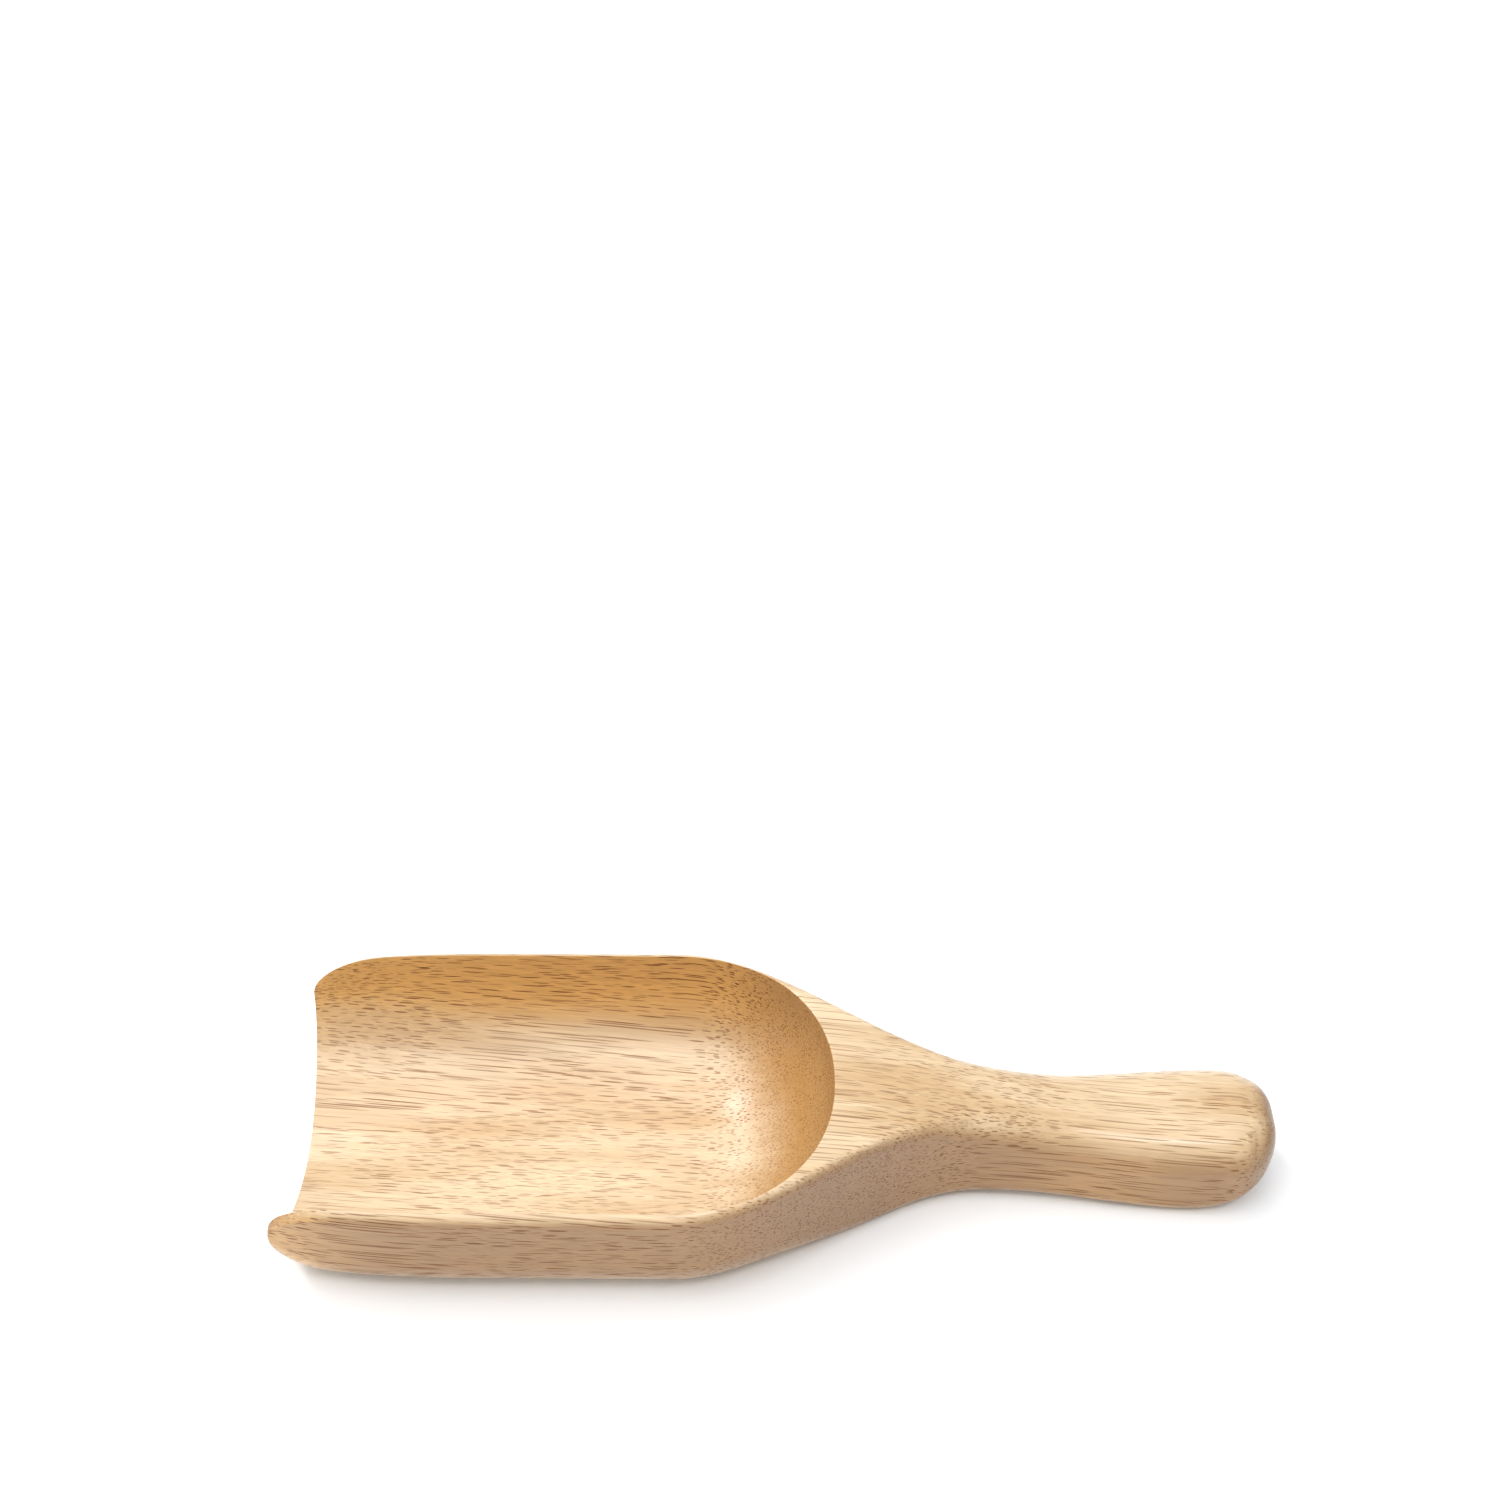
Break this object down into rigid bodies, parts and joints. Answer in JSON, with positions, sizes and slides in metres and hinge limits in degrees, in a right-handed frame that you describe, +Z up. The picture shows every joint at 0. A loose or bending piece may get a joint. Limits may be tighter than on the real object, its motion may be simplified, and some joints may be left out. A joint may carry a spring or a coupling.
{
  "type": "feed scoop",
  "caption": "Hand scoop carved from one block of wood, with an open-fronted bowl and a swelling handle.",
  "frame": {"origin": "on the surface the scoop stands on, under the middle of its length and width", "axes": "+X along the scoop from the mouth to the handle's butt, +Y across it, +Z up out of the bowl"},
  "size_m": [0.22, 0.075, 0.0313],
  "materials": {
    "wood": "pale honey-coloured, open-pored hardwood under a thin satin varnish, with brown pore lines along the length and pore dots where the grain is cut across"
  },
  "bodies": {
    "root": {"scoop": "wood"}
  },
  "joints": []
}
